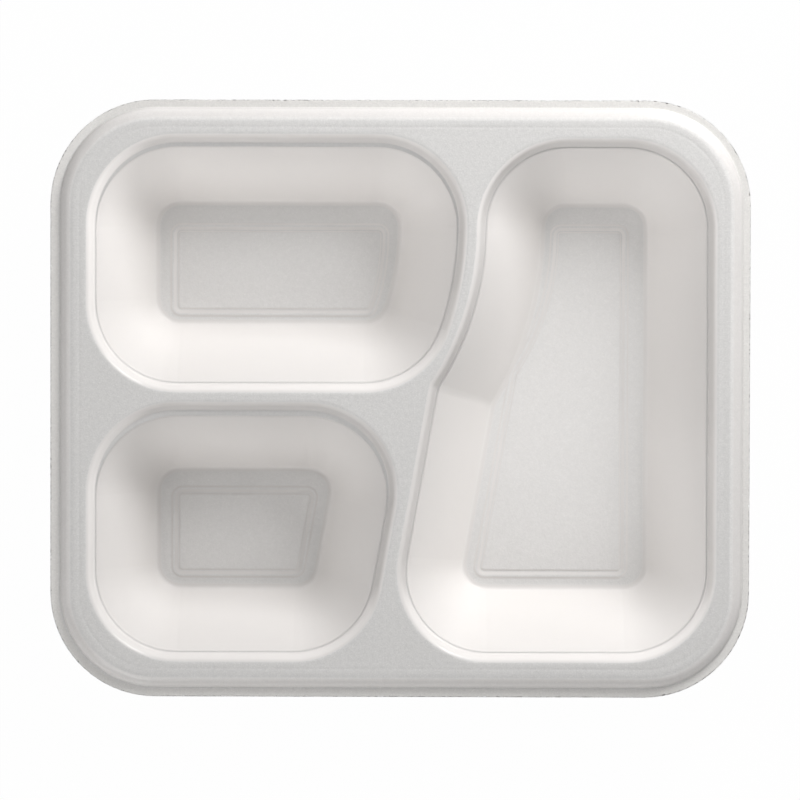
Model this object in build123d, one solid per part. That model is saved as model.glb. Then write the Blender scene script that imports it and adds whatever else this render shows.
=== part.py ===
"""Sealable meal tray in white foam sheet: one moulded piece with three drafted wells.

Millimetres. The origin is at the centre of the tray, on the plane it stands on, with +Z up,
+X along the length and +Y towards the back edge. The garnish well is at the back left, the
side well at the front left, and the main well takes the whole right-hand end.
"""

import os
from collections import namedtuple
from math import atan, cos, degrees, radians, sin, tan

from build123d import *

# Overall size
length = 240.0
width = 205.0
height = 40.0
corner = 36.0

# Foam sheet
sheet = 2.4
flange_sheet = 2.0
lip_sheet = 1.5

# Outer lip, rolled shoulder and flat sealing flange
lip = 2.3
lip_drop = 4.2
shoulder_run = 2.3
shoulder_round = 5.0
groove_gap = 2.75
groove_width = 1.2
groove_floor = 0.4
groove_depth = 0.06

# The edge is trimmed a little off the centre of what is moulded
mould_x = 0.45
mould_y = 0.35

# Mouth of each well: the flange rolls into a short neck that ends on a narrow ledge
rim = 15.0
main_setback = 1.3
mouth_corner = 28.0
mouth_round = 2.6
mouth_waist_round = 3.6
neck_depth = 3.4
neck_run = 2.65

# Drafted walls below the ledge, with the draft of each well in degrees
garnish_draft = 29.9
side_draft = 30.4
main_draft = 30.2
waist_round = 8.0
foot_round = 3.2
cove_round = 4.5

# Webs between the wells, each measured across its top from neck to neck
curved_web = 4.0
leaning_web = 4.4
cross_web = 4.05
curved_web_x = 19.9
cross_web_y = 0.7

# Plan of the long sides that face each other across the webs
bulge_turn = 19.0
waist_turn = 33.2
waist_lean = 10.15
waist_y = 4.0

# Widths on the left, right, front and back of each well: ledge, then margin of the floor
garnish_ledge = (0.3, 0.5, 0.3, 1.4)
garnish_margin = (5.3, 4.7, 2.7, 8.0)
side_ledge = (0.3, 0.3, 0.3, 1.9)
side_margin = (5.3, 5.2, 3.8, 6.8)
main_ledge = (0.3, 0.3, 0.3, 0.3)
main_margin = (3.4, 6.9, 4.0, 7.7)

# Raised bead round the panel of each floor, with a fine score line just inside it
bead_corner = 3.0
bead_width = 1.9
bead_top = 0.7
bead_height = 0.35
panel_waist_y = 8.0
score_width = 1.2
score_floor = 0.4
score_depth = 0.25

Plan = namedtuple("Plan", "left right front back waist")


def closed(arcs):
    """A face bounded by arcs taken in order, with straight lines where they don't meet."""
    curves = [CenterArc((x, y), r, start, turn) for x, y, r, start, turn in arcs]
    outline = Curve()
    for here, after in zip(curves, curves[1:] + curves[:1]):
        outline += here
        if (here @ 1 - after @ 0).length > 1e-4:
            outline += Line(here @ 1, after @ 0)
    return make_face(outline)


def bulged(plan, r):
    """Garnish well: the side by the main well swells out in one long arc."""
    turn = radians(bulge_turn)
    bulge = r + (plan.back - plan.front - 2 * r) / sin(turn)
    end_x = plan.right - bulge + (bulge - r) * cos(turn)
    return closed([
        (plan.left + r, plan.back - r, r, 90, 90),
        (plan.left + r, plan.front + r, r, 180, 90),
        (end_x, plan.front + r, r, 270, 90 - bulge_turn),
        (plan.right - bulge, plan.back - r, bulge, -bulge_turn, bulge_turn),
        (plan.right - r, plan.back - r, r, 0, 90),
    ])


def leaned(plan, r):
    """Side well: the side by the main well is straight and leans outwards to the back."""
    lean = radians(waist_lean)
    line_x = plan.right - r / cos(lean)
    front_x = line_x + (plan.front + r - waist_y) * tan(lean)
    back_x = line_x + (plan.back - r - waist_y) * tan(lean)
    return closed([
        (plan.left + r, plan.back - r, r, 90, 90),
        (plan.left + r, plan.front + r, r, 180, 90),
        (front_x, plan.front + r, r, 270, 90 - waist_lean),
        (back_x, plan.back - r, r, -waist_lean, 90 + waist_lean),
    ])


def waisted(plan, r):
    """Main well: one side is hollowed by the garnish well, then leans past the side well."""
    turn = radians(waist_turn)
    lean = radians(waist_lean)
    hollow = (plan.back - r - plan.waist) / sin(turn)
    waist_x = plan.left - hollow + hollow * cos(turn)
    front_x = waist_x - (plan.waist - plan.front - r) * tan(lean) + r / cos(lean)
    return closed([
        (plan.left + r, plan.back - r, r, 90, 90),
        (plan.left - hollow, plan.back - r, hollow, 0, -waist_turn),
        (front_x, plan.front + r, r, 180 - waist_lean, 90 + waist_lean),
        (plan.right - r, plan.front + r, r, 270, 90),
        (plan.right - r, plan.back - r, r, 0, 90),
    ])


def inset(plan, sides, waist):
    """The plan drawn in by a width on each side: left, right, front and back."""
    left, right, front, back = sides
    return Plan(plan.left + left, plan.right - right, plan.front + front, plan.back - back, waist)


def tray_outline(step_in):
    """The trimmed outline of the tray drawn in by a distance."""
    return RectangleRounded(length - 2 * step_in, width - 2 * step_in, corner - step_in)


def moulded_outline(step_in):
    """The same outline, in its place on the mould."""
    return Pos(mould_x, mould_y) * tray_outline(step_in)


def grown(outline, by):
    """The outline moved outwards by a distance, with its corners kept."""
    return offset(outline, by, kind=Kind.INTERSECTION)


def tapered(outline, level, rise, slope):
    """A solid from an outline at a level, up or down, that narrows by a slope in degrees."""
    return extrude(Pos(0, 0, level) * outline, rise, taper=slope)


def ring(outline, level, rise, wide, narrow):
    """A ring on an outline, wide at one level and narrow where it ends, up or down."""
    slope = degrees(atan((wide - narrow) / 2 / abs(rise)))
    outer = tapered(grown(outline, wide / 2), level, rise, slope)
    return outer - tapered(grown(outline, -narrow / 2), level + rise, -rise, slope)


def foot_edges(solid):
    return solid.edges().group_by(Axis.Z)[0]


def head_edges(solid):
    return solid.edges().group_by(Axis.Z)[-1]


def eased(solid, radius):
    """The solid with the upright corner at its waist rounded."""
    upright = [e for e in solid.edges() if abs((e @ 0).Z - (e @ 1).Z) > 0.1]
    return fillet(min(upright, key=lambda e: abs((e @ 0.5).Y - waist_y)), radius)


# Mouths of the wells
left_edge = mould_x - length / 2 + rim
right_edge = mould_x + length / 2 - rim
front_edge = mould_y - width / 2 + rim
back_edge = mould_y + width / 2 - rim
main_back = back_edge - main_setback
web_back = cross_web_y + cross_web / 2 + neck_run
web_front = cross_web_y - cross_web / 2 - neck_run
main_left = curved_web_x + curved_web + 2 * neck_run
waist_drop = main_back - mouth_corner - waist_y
waist_left = main_left - waist_drop * tan(radians(waist_turn) / 2)
side_right = waist_left - (leaning_web + 2 * neck_run) / cos(radians(waist_lean))
garnish_mouth = Plan(left_edge, curved_web_x, web_back, back_edge, waist_y)
side_mouth = Plan(left_edge, side_right, front_edge, web_front, waist_y)
main_mouth = Plan(main_left, right_edge, front_edge, main_back, waist_y)

wells = [
    (bulged, garnish_mouth, garnish_ledge, garnish_draft, garnish_margin),
    (leaned, side_mouth, side_ledge, side_draft, side_margin),
    (waisted, main_mouth, main_ledge, main_draft, main_margin),
]

# Rim: stepped lip, rolled shoulder and flange, hollow underneath
lip_level = height - lip_drop
lip_under = lip_level - lip_sheet
shoulder_slope = degrees(atan(shoulder_run / (height - lip_under)))
cap = tapered(moulded_outline(lip), lip_under, height - lip_under, shoulder_slope)
cap = fillet(head_edges(cap), shoulder_round)
hollow_rise = height - flange_sheet - lip_under
hollow = tapered(moulded_outline(lip + flange_sheet), lip_under, hollow_rise, shoulder_slope)
hollow = chamfer(head_edges(hollow), (shoulder_round - flange_sheet) / 2)
tray = tapered(tray_outline(0), lip_under, lip_sheet, 0) + cap - hollow

# Skin of each well, then the space inside it
ledge_level = height - neck_depth
neck_slope = degrees(atan(neck_run / neck_depth))
collar = neck_run + sheet / cos(radians(neck_slope))
spaces = []
for shape, mouth, ledge, draft, margin in wells:
    mouth_line = shape(mouth, mouth_corner)
    top = inset(mouth, ledge, waist_y)
    wall_line = shape(top, mouth_corner - min(ledge))
    skin = sheet / cos(radians(draft))
    shell = tapered(grown(wall_line, skin), ledge_level, -ledge_level, draft)
    neck_shell = tapered(grown(mouth_line, collar), height, -neck_depth - 1.5 * sheet, neck_slope)
    space = tapered(wall_line, ledge_level, sheet - ledge_level, draft)
    neck = tapered(grown(mouth_line, neck_run), height, -neck_depth, neck_slope)
    if shape is waisted:
        shell = eased(shell, waist_round + sheet)
        neck_shell = eased(neck_shell, mouth_waist_round + sheet)
        space = eased(space, waist_round)
        neck = eased(neck, mouth_waist_round)
    tray += fillet(foot_edges(shell), cove_round) + neck_shell
    space = fillet(foot_edges(space), foot_round) + neck

    wall = (ledge_level - sheet) * tan(radians(draft))
    foot = inset(top, (wall, wall, wall, wall), waist_y)
    panel = shape(inset(foot, margin, panel_waist_y), bead_corner)
    score_line = grown(panel, -(bead_width + score_width) / 2)
    space -= ring(panel, sheet, bead_height, bead_width, bead_top)
    space += ring(score_line, sheet, -score_depth, score_width, score_floor)
    spaces.append(space)

for space in spaces:
    tray -= space

# Roll the flange into each neck
flange = tray.faces().sort_by(Axis.Z)[-1]
tray = fillet(flange.inner_wires().edges(), mouth_round)

# Shallow groove pressed round the flange
groove_line = moulded_outline(rim - neck_run - groove_gap)
tray -= ring(groove_line, height, -groove_depth, groove_width, groove_floor)

os.makedirs("parts", exist_ok=True)
export_step(tray, "parts/tray.step")
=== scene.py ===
"""Sealable meal tray in white foam, seen from above on a white table under soft light.

Metres, in the frame of the part: the tray stands on z = 0 with its back edge towards +Y.
"""

import math

import bpy
from mathutils import Matrix, Vector


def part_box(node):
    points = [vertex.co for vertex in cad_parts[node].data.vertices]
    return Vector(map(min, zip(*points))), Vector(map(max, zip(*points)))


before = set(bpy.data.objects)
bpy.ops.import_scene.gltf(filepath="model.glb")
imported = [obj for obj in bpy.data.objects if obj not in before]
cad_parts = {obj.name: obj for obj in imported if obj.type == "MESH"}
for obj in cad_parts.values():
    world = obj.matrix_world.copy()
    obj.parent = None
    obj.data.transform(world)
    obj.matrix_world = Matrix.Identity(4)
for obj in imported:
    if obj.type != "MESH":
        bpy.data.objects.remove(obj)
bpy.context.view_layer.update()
MM = 0.001

# Places on the tray, measured in from its outer edge
CORNER = 36.0 * MM
LIP_WIDTH = 2.3 * MM
FLANGE_START = 7.4 * MM

# Heights over the table where the necks of the wells start and end, and their extra steepness
NECK_FOOT = 36.6 * MM
NECK_HEAD = 39.7 * MM
NECK_STEP = 0.85 * MM

# The shading of the floors is calmed below the first height, and no more above the second
CALM_BELOW = 2.4 * MM
CALM_END = 4.4 * MM
CALM_SHARE = 0.7

# Rounding of the edges, the wider one at the ledges, which then lean more to the side
EDGE_ROUND = 0.8 * MM
LEDGE_ROUND = 2.4 * MM
LEDGE_LEAN = 1.6

# Depth of the grain, and of the finely torn edge that the die leaves
GRAIN_DEPTH = 0.06 * MM
TORN_DEPTH = 1.3 * MM
TORN_SOFT = 0.06 * MM

# Colours of the foam under its film
WALL_WHITE = (0.872, 0.846, 0.826, 1.0)
FLOOR_WHITE = (0.848, 0.834, 0.820, 1.0)
FLANGE_WHITE = (0.742, 0.731, 0.718, 1.0)
LIP_WHITE = (0.838, 0.822, 0.798, 1.0)

# Camera: high above the tray, a little behind it and to its right
CAMERA_PLACE = Vector((0.0104, 0.0920, 2.199))
CAMERA_AIM = Vector((0.0, -0.00014, 0.040))
CAMERA_ROLL = 0.14
SENSOR = 36.0
FRAME_WIDTH = 0.2740

# Light
WORLD_LEVEL = 0.02
LAMPS = [
    # name, direction from +X towards +Y, height angle, distance, size, watts
    ("key", 62, 30, 0.88, 0.41, 5.15),
    ("key_right", 35, 30, 0.88, 0.41, 1.20),
    ("fill_front_right", 300, 30, 1.00, 0.60, 0.95),
    ("fill_front", 245, 30, 1.00, 0.60, 3.15),
    ("fill_left", 185, 30, 1.00, 0.60, 1.40),
    ("near_back", 105.9, 49.1, 0.556, 0.25, 0.25),
    ("near_right", 61.9, 68.0, 0.453, 0.25, 0.30),
]
AIM = Vector((0.0, 0.0, 0.03))


class Signal:
    """The output of a shader node, on which sums can be written out."""

    def __init__(self, tree, output=None):
        self.tree = tree
        self.output = output

    def node(self, kind, settings=None, inputs=None, result=0):
        """Adds a node of any kind: its settings first, then the values or links of its sockets."""
        made = self.tree.nodes.new("ShaderNode" + kind)
        for name, value in (settings or {}).items():
            setattr(made, name, value)
        for name, value in (inputs or {}).items():
            if isinstance(value, Signal):
                self.tree.links.new(value.output, made.inputs[name])
            else:
                made.inputs[name].default_value = value
        return Signal(self.tree, made.outputs[result])

    def sum(self, operation, *values):
        return self.node("Math", {"operation": operation}, dict(enumerate(values)))

    def __add__(self, other):
        return self.sum("ADD", self, other)

    __radd__ = __add__

    def __sub__(self, other):
        return self.sum("SUBTRACT", self, other)

    def __rsub__(self, other):
        return self.sum("SUBTRACT", other, self)

    def __mul__(self, other):
        return self.sum("MULTIPLY", self, other)

    __rmul__ = __mul__

    def __abs__(self):
        return self.sum("ABSOLUTE", self)

    def at_least(self, other):
        return self.sum("MAXIMUM", self, other)

    def parts(self, vector):
        """The three numbers of a vector."""
        split = self.node("SeparateXYZ", inputs={"Vector": vector}).output.node
        return [Signal(self.tree, split.outputs[axis]) for axis in "XYZ"]

    def scaled(self, vector, factors):
        """A vector with each of its numbers multiplied by its own factor."""
        return self.node("VectorMath", {"operation": "MULTIPLY"}, {0: vector, 1: factors})

    def mix(self, share, colour, other):
        """One colour, or the other as the share goes to 1."""
        return self.node(
            "Mix",
            {"data_type": "RGBA"},
            {"Factor": share, "A": colour, "B": other},
            result="Result",
        )

    def blend(self, share, vector, other):
        """One vector, or the other as the share goes to 1."""
        return self.node(
            "Mix", {"data_type": "VECTOR"}, {0: share, 4: vector, 5: other}, result=1
        )

    def rising(self, low, high):
        """0 below low, 1 above high, with a soft step between them."""
        return self.node(
            "MapRange",
            {"interpolation_type": "SMOOTHSTEP"},
            {"Value": self, "From Min": low, "From Max": high},
        )

    def band(self, low, high, soft):
        """1 between low and high, falling to 0 over a soft width on each side."""
        return self.rising(low - soft, low) * (1 - self.rising(high, high + soft))


def new_material(name):
    """A material with no nodes but its output."""
    material = bpy.data.materials.new(name)
    material.use_nodes = True
    tree = material.node_tree
    tree.nodes.clear()
    return material, Signal(tree), tree.nodes.new("ShaderNodeOutputMaterial")


def inset_from_edge(start, x, y):
    """How far a place on the tray is from the outer edge, out to the corner's radius."""
    low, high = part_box("tray")
    over_x = (abs(x) - ((high.x - low.x) / 2 - CORNER)).at_least(0.0)
    over_y = (abs(y) - ((high.y - low.y) / 2 - CORNER)).at_least(0.0)
    reach = start.sum("SQRT", over_x * over_x + over_y * over_y)
    return CORNER - reach


def film_faced_foam():
    """White foam sheet with a film bonded to it: grained on the flats, smooth on the walls."""
    material, start, output = new_material("film_faced_foam")
    place = start.node("TexCoord", result="Object")
    x, y, height = start.parts(place)
    rightwards, backwards, upwards = start.parts(start.node("TexCoord", result="Normal"))
    level = upwards.rising(0.90, 0.99)
    inset = inset_from_edge(start, x, y)
    inner = inset.rising(FLANGE_START - 1.0 * MM, FLANGE_START)
    lip = 1 - inset.rising(LIP_WIDTH, LIP_WIDTH + 0.6 * MM)
    flange = level * inner * height.rising(39.0 * MM, 39.8 * MM)
    grained = level.at_least(1 - inner)

    def noise(scale, detail=2.0, rough=0.5, stretch=None):
        where = place if stretch is None else start.scaled(place, stretch)
        return start.node(
            "TexNoise",
            inputs={"Vector": where, "Scale": scale, "Detail": detail, "Roughness": rough},
        )

    fine = noise(1900.0, 2.0, 0.7)
    middle = noise(700.0, 2.0, 0.5)
    broad = noise(45.0, 2.0, 0.5)
    ragged = noise(1000.0, 1.0, 0.5)
    ripples = noise(26.0, 1.0, 0.5, (1.0, 9.0, 1.0))

    # Colour: warmer and brighter on the walls, a darker white on the floors, darker still on the
    # flange, and lighter again on the lip
    walls = start.mix(level, WALL_WHITE, FLOOR_WHITE)
    shade = start.mix(flange, walls, FLANGE_WHITE)
    shade = start.mix(lip, shade, LIP_WHITE)
    specks = (fine - 0.5) * 0.11 + (fine - 0.60).at_least(0.0) * 0.30 + (middle - 0.5) * 0.07
    speckled = 0.06 + 0.94 * level + 1.3 * flange + 1.0 * (1 - inner)

    # Painted light: the walls at the back and front right are painted a little brighter, and the
    # necks facing the light get a painted highlight
    painted_back_light = y.rising(10.0 * MM, 80.0 * MM) * inner * (1 - level)
    front_right = x.rising(-5.0 * MM, 20.0 * MM) * (1 - y.rising(-20.0 * MM, 0.0))
    near = front_right * inner * (1 - level)
    outer_left = rightwards.rising(0.2, 0.5) * (1 - x.rising(-60.0 * MM, -50.0 * MM))
    gentle = backwards.rising(0.1, 0.4).at_least(outer_left)
    painted_neck_highlight = gentle * height.band(37.0 * MM, 39.2 * MM, 0.6 * MM) * inner
    painted_light = 0.09 * painted_neck_highlight + 0.12 * painted_back_light + 0.04 * near
    # The tone carries the painted light on top of the random tone and the grain's specks
    tone = 1.0 + 0.03 * (broad - 0.5) + specks * speckled + painted_light
    colour = start.node("VectorMath", {"operation": "SCALE"}, {"Vector": shade, "Scale": tone})

    # Form: rounded edges, wider at the ledge under each neck, and a steeper neck out of the light
    ledge = height.band(NECK_FOOT - 0.5 * MM, NECK_FOOT + 0.5 * MM, 0.8 * MM) * inner
    rounded = start.node("Bevel", {"samples": 4}, {"Radius": EDGE_ROUND})
    blended = start.node("Bevel", {"samples": 4}, {"Radius": LEDGE_ROUND})
    leant = start.scaled(blended, (LEDGE_LEAN, LEDGE_LEAN, 1.0))
    leaning = start.node("VectorMath", {"operation": "NORMALIZE"}, {0: leant})
    soft = start.blend(ledge, rounded, leaning)
    neck = (height.rising(NECK_FOOT, NECK_HEAD) - 1.0) * inner * NECK_STEP
    steep = start.node(
        "Bump", inputs={"Strength": 1.0, "Distance": 1.0, "Height": neck, "Normal": soft}
    )
    form = start.blend(gentle, steep, soft)
    calm = CALM_SHARE * (1 - height.rising(CALM_BELOW, CALM_END)) * upwards.rising(0.2, 0.5)
    form = start.blend(calm, form, (0.0, 0.0, 1.0))
    wavy = (ripples - 0.5) * flange * abs(y).rising(86.0 * MM, 90.0 * MM) * 2.5
    grain = (fine - 0.5) * (0.1 + 0.9 * grained) + (middle - 0.5) * (0.1 + 0.9 * grained)
    bumps = start.node(
        "Bump",
        inputs={"Strength": 0.8, "Distance": GRAIN_DEPTH, "Height": grain + wavy, "Normal": form},
    )

    # The die leaves a finely torn edge
    torn = (ragged - 0.44) * TORN_DEPTH
    upright = 1 - abs(upwards).rising(0.5, 0.9)
    kept = inset.rising(torn - TORN_SOFT, torn + TORN_SOFT).at_least(upright)

    rough = 0.22 + 0.24 * level + 0.30 * lip
    shader = start.node(
        "BsdfPrincipled",
        inputs={
            "Base Color": colour,
            "Roughness": rough,
            "Normal": bumps,
            "Alpha": kept,
            "IOR": 1.45,
        },
    )
    start.tree.links.new(shader.output, output.inputs["Surface"])
    return material


def white_table():
    """A white table that shows white to the camera and still takes a soft shadow."""
    material, start, output = new_material("white_table")
    rays = start.node("LightPath").output.node.outputs
    seen = Signal(start.tree, rays["Is Camera Ray"])
    mirrored = Signal(start.tree, rays["Is Glossy Ray"])
    through = Signal(start.tree, rays["Is Transmission Ray"])
    plain = start.node("BsdfDiffuse", inputs={"Color": (0.80, 0.80, 0.80, 1.0)})
    bright = start.node("Emission", inputs={"Color": (1.0, 1.0, 1.0, 1.0), "Strength": 1.0})
    share = 0.985 * seen.at_least(mirrored).at_least(through)
    mixed = start.node("MixShader", inputs={0: share, 1: plain, 2: bright})
    start.tree.links.new(mixed.output, output.inputs["Surface"])
    return material


def dress_tray():
    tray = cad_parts["tray"]
    foam = film_faced_foam()
    for slot in tray.material_slots:
        slot.material = foam
    return tray


def lay_table():
    bpy.ops.object.select_all(action="DESELECT")
    bpy.ops.mesh.primitive_plane_add(size=6.0, location=(0.0, 0.0, 0.0))
    table = bpy.context.object
    table.name = "table"
    table.data.materials.append(white_table())
    return table


def hang_lamps():
    for name, turn, rise, distance, size, watts in LAMPS:
        level = math.cos(math.radians(rise))
        side = Vector((math.cos(math.radians(turn)) * level, math.sin(math.radians(turn)) * level))
        place = AIM + distance * Vector((side.x, side.y, math.sin(math.radians(rise))))
        light = bpy.data.lights.new(name, "AREA")
        light.shape = "SQUARE"
        light.size = size
        light.energy = watts
        lamp = bpy.data.objects.new(name, light)
        lamp.location = place
        lamp.rotation_euler = (AIM - place).to_track_quat("-Z", "Y").to_euler()
        bpy.context.scene.collection.objects.link(lamp)


def light_world():
    """Even light from all round, white where the camera sees it."""
    world = bpy.data.worlds.new("even_room")
    bpy.context.scene.world = world
    world.use_nodes = True
    tree = world.node_tree
    tree.nodes.clear()
    start = Signal(tree)
    rays = start.node("LightPath").output.node.outputs
    seen = Signal(tree, rays["Is Camera Ray"])
    level = WORLD_LEVEL + (1.0 - WORLD_LEVEL) * seen
    room = start.node("Background", inputs={"Color": (1.0, 1.0, 1.0, 1.0), "Strength": level})
    output = tree.nodes.new("ShaderNodeOutputWorld")
    tree.links.new(room.output, output.inputs["Surface"])


def set_camera():
    away = (CAMERA_PLACE - CAMERA_AIM).normalized()
    upright = Matrix.Rotation(math.radians(CAMERA_ROLL), 3, "Z") @ Vector((0.0, 1.0, 0.0))
    right = upright.cross(away).normalized()
    up = away.cross(right)
    turn = Matrix((right, up, away)).transposed()
    lens = bpy.data.cameras.new("camera")
    lens.sensor_width = SENSOR
    lens.lens = SENSOR * (CAMERA_PLACE - CAMERA_AIM).length / FRAME_WIDTH
    lens.clip_end = 20.0
    camera = bpy.data.objects.new("camera", lens)
    camera.matrix_world = Matrix.Translation(CAMERA_PLACE) @ turn.to_4x4()
    bpy.context.scene.collection.objects.link(camera)
    bpy.context.scene.camera = camera


bpy.context.scene.view_settings.view_transform = "Standard"
dress_tray()
lay_table()
hang_lamps()
light_world()
set_camera()
